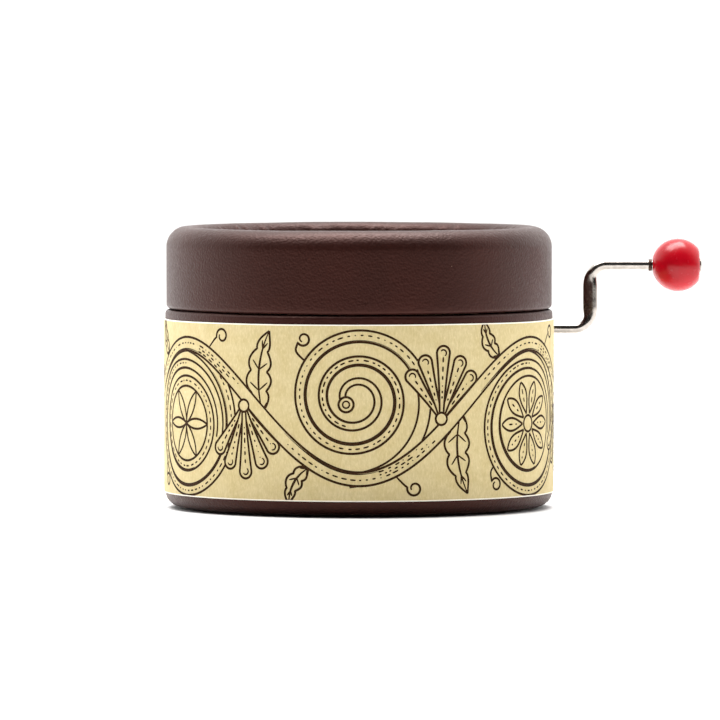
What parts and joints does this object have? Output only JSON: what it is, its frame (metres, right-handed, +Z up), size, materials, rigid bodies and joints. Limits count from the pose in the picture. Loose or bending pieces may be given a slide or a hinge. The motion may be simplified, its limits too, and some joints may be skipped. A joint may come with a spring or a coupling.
{
  "type": "hand crank music box",
  "caption": "Round covered music box with a printed paper band, a dished lift-off lid and a cranked wire handle with a red ball knob; inside, a worm drives a pinned drum past a comb.",
  "frame": {"origin": "centre of the round case's underside, on the table", "axes": "+Z up, +X the way the crank leaves the case, -Y the side the picture looks at"},
  "size_m": [0.0802, 0.058, 0.0418],
  "materials": {
    "leatherette": "fine pebble-grain dark brown leatherette",
    "printed_paper": "printed cream paper with dark brown scrollwork",
    "card": "wound grey-brown card",
    "lining": "thin dark felt-like lining",
    "board": "pale resonance board",
    "zinc": "grey die-cast zinc",
    "comb_steel": "ground spring steel",
    "plated_steel": "bright zinc-plated steel",
    "screw_steel": "bright plated steel",
    "lead": "dull lead",
    "drum_brass": "satin brass",
    "pin_steel": "bright pin wire",
    "gear_plastic": "natural acetal",
    "crank_steel": "bright plated wire",
    "stop_steel": "dark crimped ring",
    "red_plastic": "glossy moulded red"
  },
  "bodies": {
    "case": {"bottom_lining": "lining", "bottom_board": "card", "base_tube": "card", "base_cover": "leatherette", "paper_band": "printed_paper", "neck_tube": "card", "support_ring": "card", "sound_board": "board", "board_screws": "screw_steel", "bedplate": "zinc", "comb": "comb_steel", "comb_weights": "lead", "comb_screws": "screw_steel", "worm_bridge": "plated_steel", "bearing_plate": "plated_steel", "frame_screws": "screw_steel"},
    "lid": {"lid_ring": "card", "lid_panel": "card", "lid_cover": "leatherette", "lid_label": "printed_paper"},
    "crank": {"worm_shaft": "plated_steel", "worm": "gear_plastic", "shaft_collar": "drum_brass", "crank_wire": "crank_steel", "knob_stop": "stop_steel"},
    "knob": {"knob": "red_plastic"},
    "drum": {"drum_tube": "drum_brass", "drum_pins": "pin_steel", "drum_hub": "drum_brass", "drum_cap": "drum_brass", "drum_arbor": "plated_steel", "worm_wheel": "gear_plastic"}
  },
  "joints": [
    {"name": "lid_lift", "type": "slide", "parent": "case", "child": "lid", "axis": [0, 0, 1], "range_m": [0, 0.03]},
    {"name": "crank_turn", "type": "hinge", "parent": "case", "child": "crank", "pos_m": [0, 0.0075, 0.0263], "axis": [1, 0, 0], "continuous": true},
    {"name": "knob_spin", "type": "hinge", "parent": "crank", "child": "knob", "pos_m": [0.0477, 0.0075, 0.0358], "axis": [1, 0, 0], "continuous": true},
    {"name": "drum_spin", "type": "hinge", "parent": "case", "child": "drum", "pos_m": [0.0095, 0, 0.0179], "axis": [0, 1, 0], "continuous": true}
  ],
  "couplings": [
    {"joint": "drum_spin", "follows": "crank_turn", "ratio": -0.05}
  ]
}
